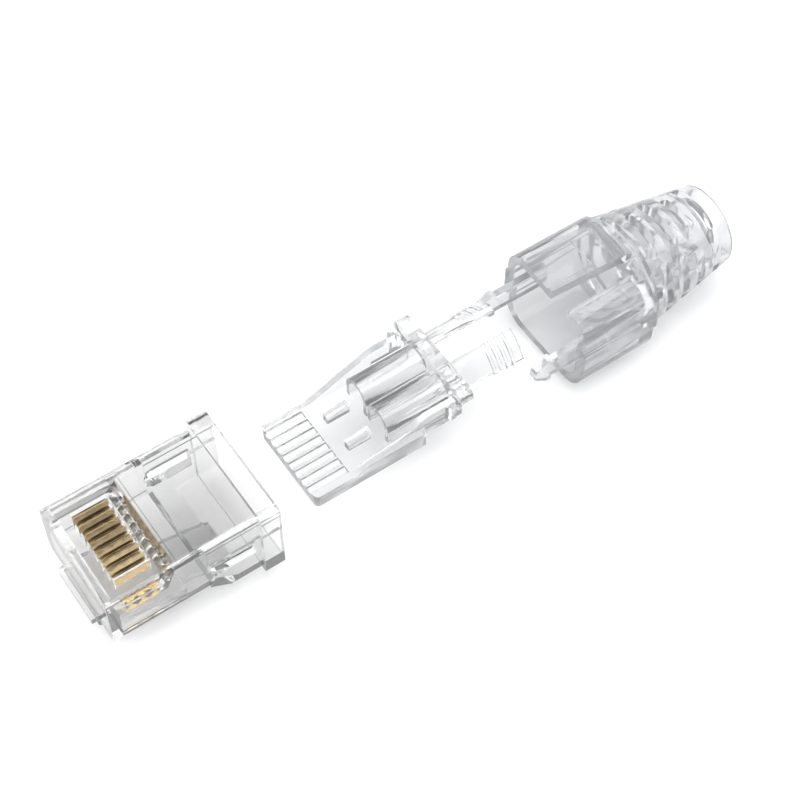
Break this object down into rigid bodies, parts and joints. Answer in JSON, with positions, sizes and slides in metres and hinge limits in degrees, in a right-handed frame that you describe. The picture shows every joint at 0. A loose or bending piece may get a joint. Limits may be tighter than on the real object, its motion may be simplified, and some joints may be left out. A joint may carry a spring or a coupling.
{
  "type": "modular plug",
  "caption": "Clear modular cable plug in three parts pulled apart along one line: latched housing with contact blades, wire guide and ribbed strain-relief boot.",
  "frame": {"origin": "on the mating face at the front of the housing, on the axis of the cable", "axes": "+X from the mating face along the cable towards the boot's tail, +Z towards the contact side, +Y across the contacts"},
  "size_m": [0.0707, 0.0126, 0.015],
  "materials": {
    "clear_housing": "polished clear",
    "clear_latch_lever": "polished clear",
    "clear_wire_guide": "polished clear",
    "clear_boot": "polished clear",
    "contact_gold": "gold plated"
  },
  "bodies": {
    "housing": {"housing": "clear_housing"},
    "latch": {"latch_lever": "clear_latch_lever"},
    "blades": {"contact_1": "contact_gold", "contact_2": "contact_gold", "contact_3": "contact_gold", "contact_4": "contact_gold", "contact_5": "contact_gold", "contact_6": "contact_gold", "contact_7": "contact_gold", "contact_8": "contact_gold"},
    "guide": {"wire_guide": "clear_wire_guide"},
    "boot": {"boot": "clear_boot"}
  },
  "joints": [
    {"name": "guide_slide", "type": "slide", "parent": "housing", "child": "guide", "axis": [1, 0, 0], "range_m": [-0.01965, 0]},
    {"name": "boot_slide", "type": "slide", "parent": "guide", "child": "boot", "axis": [1, 0, 0], "range_m": [-0.0122, 0]},
    {"name": "latch_hinge", "type": "hinge", "parent": "housing", "child": "latch", "pos_m": [0.0004, 0, -0.0032], "axis": [0, -1, 0], "range_deg": [0, 8], "stiffness_Nm_per_rad": 0.03},
    {"name": "blade_crimp", "type": "slide", "parent": "housing", "child": "blades", "axis": [0, 0, -1], "range_m": [0, 0.0005]}
  ]
}
